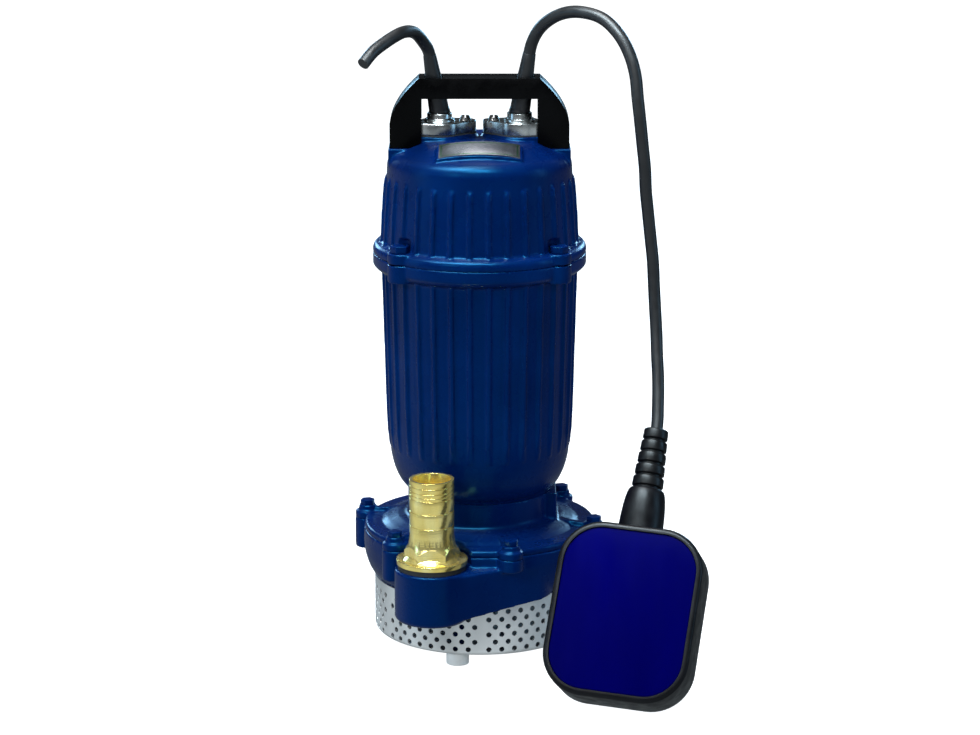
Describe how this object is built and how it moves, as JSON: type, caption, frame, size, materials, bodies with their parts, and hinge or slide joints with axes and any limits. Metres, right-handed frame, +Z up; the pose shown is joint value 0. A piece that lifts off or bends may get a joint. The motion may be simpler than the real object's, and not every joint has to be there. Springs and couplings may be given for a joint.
{
  "type": "submersible sump pump with float switch",
  "caption": "Upright submersible pump with a ribbed body, perforated intake strainer, hose tail, carry handle and a float switch that hangs on a cable.",
  "frame": {"origin": "on the pump's vertical axis, in the plane that its feet stand on", "axes": "+Z up along the pump's axis; -Y towards the front, where the outlet and its hose tail are; +X to the side where the float hangs"},
  "size_m": [0.2699, 0.3201, 0.5047],
  "materials": {
    "blue_paint": "gloss",
    "stainless": "satin",
    "rubber": "matte",
    "white_plastic": "matte",
    "brass": "satin",
    "bearing_steel": "polished",
    "core_steel": "satin",
    "copper": "satin",
    "cast_iron": "matte",
    "seal_face": "satin",
    "black_plastic": "satin",
    "float_blue": "gloss",
    "plate_grey": "satin"
  },
  "bodies": {
    "pump": {"feet": "white_plastic", "foot_screws": "stainless", "strainer": "stainless", "wear_ring": "rubber", "pump_casing": "blue_paint", "casing_gasket": "rubber", "casing_cover": "blue_paint", "casing_bolts": "blue_paint", "outlet_gasket": "rubber", "hose_tail": "brass", "oil_plug": "blue_paint", "seal_seat": "seal_face", "oil_seal": "rubber", "lower_bearing_outer": "bearing_steel", "upper_bearing_outer": "bearing_steel", "motor_housing": "blue_paint", "housing_screws": "stainless", "stator_core": "core_steel", "stator_winding": "copper", "bearing_bracket": "cast_iron", "cover_o_ring": "rubber", "top_cover": "blue_paint", "cover_bolts": "blue_paint", "capacitor": "white_plastic", "capacitor_clip": "stainless", "terminal_block": "black_plastic", "inner_leads": "rubber", "gland_gaskets": "rubber", "gland_plate_left": "stainless", "gland_plate_right": "stainless", "gland_screws": "stainless", "cable_sleeve_left": "rubber", "cable_sleeve_right": "rubber", "handle": "black_plastic", "handle_screws": "stainless", "nameplate": "plate_grey", "mains_cable": "rubber", "float_cable": "rubber"},
    "rotor": {"shaft": "bearing_steel", "rotor_core": "core_steel", "lower_bearing_inner": "bearing_steel", "upper_bearing_inner": "bearing_steel", "bearing_balls": "bearing_steel", "seal_head": "seal_face", "impeller": "cast_iron", "impeller_key": "bearing_steel", "impeller_nut": "bearing_steel"},
    "float": {"float_body": "black_plastic", "float_face_front": "float_blue", "float_face_rear": "float_blue", "float_cone": "black_plastic", "float_boot": "rubber", "float_frame": "black_plastic", "microswitch": "black_plastic", "float_wires": "copper"},
    "ball": {"float_ball": "bearing_steel"},
    "plunger": {"switch_plunger": "white_plastic"}
  },
  "joints": [
    {"name": "rotor_spin", "type": "hinge", "parent": "pump", "child": "rotor", "pos_m": [0, 0, 0.2], "axis": [0, 0, 1], "continuous": true},
    {"name": "float_swing", "type": "hinge", "parent": "pump", "child": "float", "pos_m": [0.1335, -0.097, 0.1986], "axis": [-0.9668, 0.25, 0.0523], "range_deg": [0, 75]},
    {"name": "ball_roll", "type": "slide", "parent": "float", "child": "ball", "axis": [0.1674, 0.4653, 0.8692], "range_m": [0, 0.024]},
    {"name": "plunger_press", "type": "slide", "parent": "float", "child": "plunger", "axis": [0.1674, 0.4653, 0.8692], "range_m": [0, 0.001]}
  ],
  "couplings": [
    {"joint": "plunger_press", "follows": "ball_roll", "ratio": 0.033333}
  ]
}
